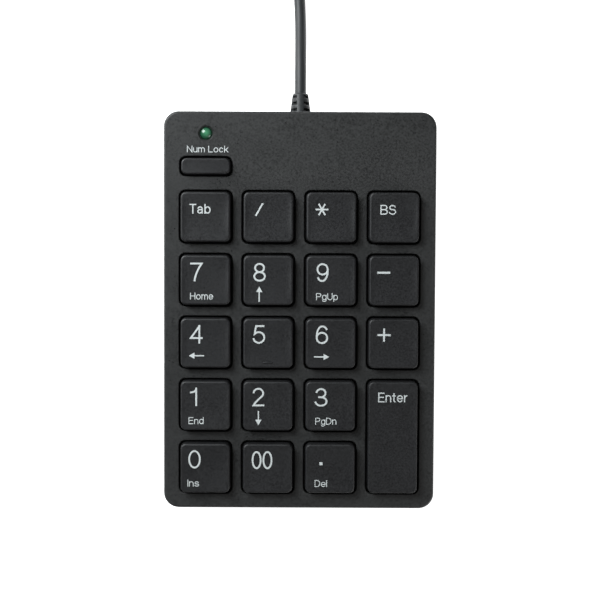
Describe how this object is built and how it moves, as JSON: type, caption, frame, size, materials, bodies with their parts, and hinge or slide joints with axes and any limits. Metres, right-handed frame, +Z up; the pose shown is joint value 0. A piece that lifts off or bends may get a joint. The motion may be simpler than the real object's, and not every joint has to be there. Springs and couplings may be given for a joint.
{
  "type": "numeric keypad",
  "caption": "Wired numeric keypad: a low sloping case with square-windowed keys, a small lock button with a lamp, and a coiled lead with a plug.",
  "frame": {"origin": "on the table, under the middle of the case (without the lead)", "axes": "+X to the user's right, +Y to the rear, where the lead leaves, +Z up"},
  "size_m": [0.1009, 0.215, 0.0192],
  "materials": {
    "case_plastic": "satin, fine spark texture",
    "key_plastic": "satin, fine spark texture",
    "legend_ink": "pad-printed legends on the keys and the deck",
    "inner_plastic": "smooth moulding",
    "dome_silicone": "translucent grey",
    "circuit_film": "clear polyester with printed traces",
    "steel_plate": "galvanised",
    "circuit_board": "green solder mask",
    "chip_plastic": "matt black",
    "green_lens": "lit green lens",
    "screw_steel": "zinc plated",
    "foot_rubber": "matt",
    "cord_jacket": "satin vinyl",
    "tie_strap": "matt",
    "plug_plastic": "satin",
    "plug_steel": "nickel plated",
    "spring_wire": "bright drawn wire"
  },
  "bodies": {
    "housing": {"top_cover": "case_plastic", "bottom_cover": "case_plastic", "key_guide_frame": "inner_plastic", "upper_circuit_film": "circuit_film", "spacer_film": "circuit_film", "lower_circuit_film": "circuit_film", "support_plate": "steel_plate", "controller_board": "circuit_board", "board_components": "chip_plastic", "film_clamp_bar": "steel_plate", "num_lock_lamp": "green_lens", "screws": "screw_steel", "rubber_feet": "foot_rubber", "strain_relief": "cord_jacket", "usb_cord": "cord_jacket", "cord_coil": "cord_jacket", "coil_tie": "tie_strap", "plug_body": "plug_plastic", "plug_shell": "plug_steel", "dome_num_lock": "dome_silicone", "dome_tab": "dome_silicone", "dome_slash": "dome_silicone", "dome_asterisk": "dome_silicone", "dome_backspace": "dome_silicone", "dome_7": "dome_silicone", "dome_8": "dome_silicone", "dome_9": "dome_silicone", "dome_minus": "dome_silicone", "dome_4": "dome_silicone", "dome_5": "dome_silicone", "dome_6": "dome_silicone", "dome_plus": "dome_silicone", "dome_1": "dome_silicone", "dome_2": "dome_silicone", "dome_3": "dome_silicone", "dome_0": "dome_silicone", "dome_00": "dome_silicone", "dome_point": "dome_silicone", "dome_enter": "dome_silicone"},
    "key_num_lock": {"keycap_num_lock": "key_plastic"},
    "key_tab": {"keycap_tab": "key_plastic"},
    "key_slash": {"keycap_slash": "key_plastic"},
    "key_asterisk": {"keycap_asterisk": "key_plastic"},
    "key_backspace": {"keycap_backspace": "key_plastic"},
    "key_7": {"keycap_7": "key_plastic"},
    "key_8": {"keycap_8": "key_plastic"},
    "key_9": {"keycap_9": "key_plastic"},
    "key_minus": {"keycap_minus": "key_plastic"},
    "key_4": {"keycap_4": "key_plastic"},
    "key_5": {"keycap_5": "key_plastic"},
    "key_6": {"keycap_6": "key_plastic"},
    "key_plus": {"keycap_plus": "key_plastic"},
    "key_1": {"keycap_1": "key_plastic"},
    "key_2": {"keycap_2": "key_plastic"},
    "key_3": {"keycap_3": "key_plastic"},
    "key_0": {"keycap_0": "key_plastic"},
    "key_00": {"keycap_00": "key_plastic"},
    "key_point": {"keycap_point": "key_plastic"},
    "key_enter": {"keycap_enter": "key_plastic"},
    "enter_stabiliser": {"enter_stabiliser_wire": "spring_wire"}
  },
  "joints": [
    {"name": "press_num_lock", "type": "slide", "parent": "housing", "child": "key_num_lock", "axis": [0, 0.0523, -0.9986], "range_m": [0, 0.0014], "stiffness_N_per_m": 250, "springref_m": -0.001, "deforming": ["dome_num_lock"]},
    {"name": "press_tab", "type": "slide", "parent": "housing", "child": "key_tab", "axis": [0, 0.0523, -0.9986], "range_m": [0, 0.0022], "stiffness_N_per_m": 250, "springref_m": -0.001, "deforming": ["dome_tab"]},
    {"name": "press_slash", "type": "slide", "parent": "housing", "child": "key_slash", "axis": [0, 0.0523, -0.9986], "range_m": [0, 0.0022], "stiffness_N_per_m": 250, "springref_m": -0.001, "deforming": ["dome_slash"]},
    {"name": "press_asterisk", "type": "slide", "parent": "housing", "child": "key_asterisk", "axis": [0, 0.0523, -0.9986], "range_m": [0, 0.0022], "stiffness_N_per_m": 250, "springref_m": -0.001, "deforming": ["dome_asterisk"]},
    {"name": "press_backspace", "type": "slide", "parent": "housing", "child": "key_backspace", "axis": [0, 0.0523, -0.9986], "range_m": [0, 0.0022], "stiffness_N_per_m": 250, "springref_m": -0.001, "deforming": ["dome_backspace"]},
    {"name": "press_7", "type": "slide", "parent": "housing", "child": "key_7", "axis": [0, 0.0523, -0.9986], "range_m": [0, 0.0022], "stiffness_N_per_m": 250, "springref_m": -0.001, "deforming": ["dome_7"]},
    {"name": "press_8", "type": "slide", "parent": "housing", "child": "key_8", "axis": [0, 0.0523, -0.9986], "range_m": [0, 0.0022], "stiffness_N_per_m": 250, "springref_m": -0.001, "deforming": ["dome_8"]},
    {"name": "press_9", "type": "slide", "parent": "housing", "child": "key_9", "axis": [0, 0.0523, -0.9986], "range_m": [0, 0.0022], "stiffness_N_per_m": 250, "springref_m": -0.001, "deforming": ["dome_9"]},
    {"name": "press_minus", "type": "slide", "parent": "housing", "child": "key_minus", "axis": [0, 0.0523, -0.9986], "range_m": [0, 0.0022], "stiffness_N_per_m": 250, "springref_m": -0.001, "deforming": ["dome_minus"]},
    {"name": "press_4", "type": "slide", "parent": "housing", "child": "key_4", "axis": [0, 0.0523, -0.9986], "range_m": [0, 0.0022], "stiffness_N_per_m": 250, "springref_m": -0.001, "deforming": ["dome_4"]},
    {"name": "press_5", "type": "slide", "parent": "housing", "child": "key_5", "axis": [0, 0.0523, -0.9986], "range_m": [0, 0.0022], "stiffness_N_per_m": 250, "springref_m": -0.001, "deforming": ["dome_5"]},
    {"name": "press_6", "type": "slide", "parent": "housing", "child": "key_6", "axis": [0, 0.0523, -0.9986], "range_m": [0, 0.0022], "stiffness_N_per_m": 250, "springref_m": -0.001, "deforming": ["dome_6"]},
    {"name": "press_plus", "type": "slide", "parent": "housing", "child": "key_plus", "axis": [0, 0.0523, -0.9986], "range_m": [0, 0.0022], "stiffness_N_per_m": 250, "springref_m": -0.001, "deforming": ["dome_plus"]},
    {"name": "press_1", "type": "slide", "parent": "housing", "child": "key_1", "axis": [0, 0.0523, -0.9986], "range_m": [0, 0.0022], "stiffness_N_per_m": 250, "springref_m": -0.001, "deforming": ["dome_1"]},
    {"name": "press_2", "type": "slide", "parent": "housing", "child": "key_2", "axis": [0, 0.0523, -0.9986], "range_m": [0, 0.0022], "stiffness_N_per_m": 250, "springref_m": -0.001, "deforming": ["dome_2"]},
    {"name": "press_3", "type": "slide", "parent": "housing", "child": "key_3", "axis": [0, 0.0523, -0.9986], "range_m": [0, 0.0022], "stiffness_N_per_m": 250, "springref_m": -0.001, "deforming": ["dome_3"]},
    {"name": "press_0", "type": "slide", "parent": "housing", "child": "key_0", "axis": [0, 0.0523, -0.9986], "range_m": [0, 0.0022], "stiffness_N_per_m": 250, "springref_m": -0.001, "deforming": ["dome_0"]},
    {"name": "press_00", "type": "slide", "parent": "housing", "child": "key_00", "axis": [0, 0.0523, -0.9986], "range_m": [0, 0.0022], "stiffness_N_per_m": 250, "springref_m": -0.001, "deforming": ["dome_00"]},
    {"name": "press_point", "type": "slide", "parent": "housing", "child": "key_point", "axis": [0, 0.0523, -0.9986], "range_m": [0, 0.0022], "stiffness_N_per_m": 250, "springref_m": -0.001, "deforming": ["dome_point"]},
    {"name": "press_enter", "type": "slide", "parent": "housing", "child": "key_enter", "axis": [0, 0.0523, -0.9986], "range_m": [0, 0.0022], "stiffness_N_per_m": 250, "springref_m": -0.001, "deforming": ["dome_enter"]},
    {"name": "stabiliser_turn", "type": "hinge", "parent": "housing", "child": "enter_stabiliser", "pos_m": [0.02357, -0.03826, 0.01089], "axis": [0, 0.9986, 0.0523], "range_deg": [0, 14.89]}
  ],
  "couplings": [
    {"joint": "stabiliser_turn", "follows": "press_enter", "rad_per_m": 117.98}
  ]
}
